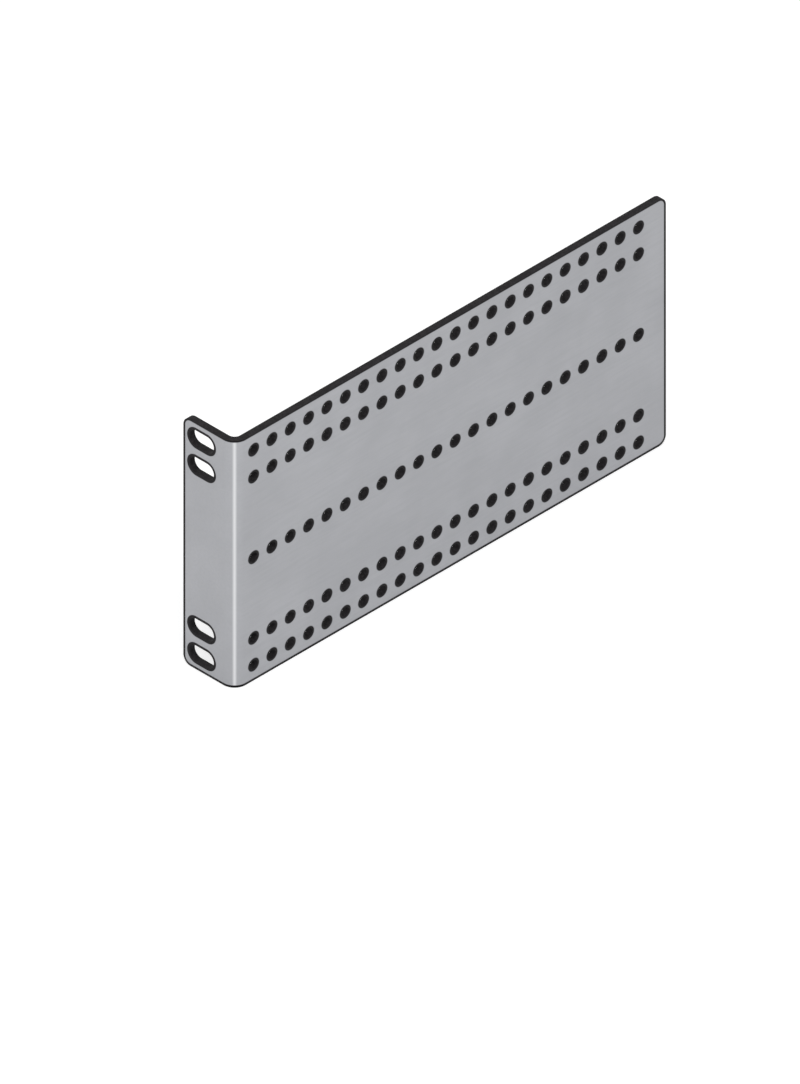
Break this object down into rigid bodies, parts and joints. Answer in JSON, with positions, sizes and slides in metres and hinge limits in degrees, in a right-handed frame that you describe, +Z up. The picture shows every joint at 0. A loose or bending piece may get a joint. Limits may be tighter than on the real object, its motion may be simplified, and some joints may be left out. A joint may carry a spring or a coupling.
{
  "type": "rack mount ear bracket",
  "caption": "Folded steel rack ear: a short flange with round-ended slots for the rack rail and a long side panel with a grid of round holes for the chassis.",
  "frame": {"origin": "middle of the slot pattern, on the rear face of the flange, which bears on the rack rail", "axes": "+X across the rack, out of the side panel's chassis face; +Y back along the chassis, out of the flange's rack face; +Z up"},
  "size_m": [0.028, 0.2354, 0.1166],
  "materials": {
    "zinc_steel": "matt grey zinc"
  },
  "bodies": {
    "root": {"ear_bracket": "zinc_steel"}
  },
  "joints": []
}
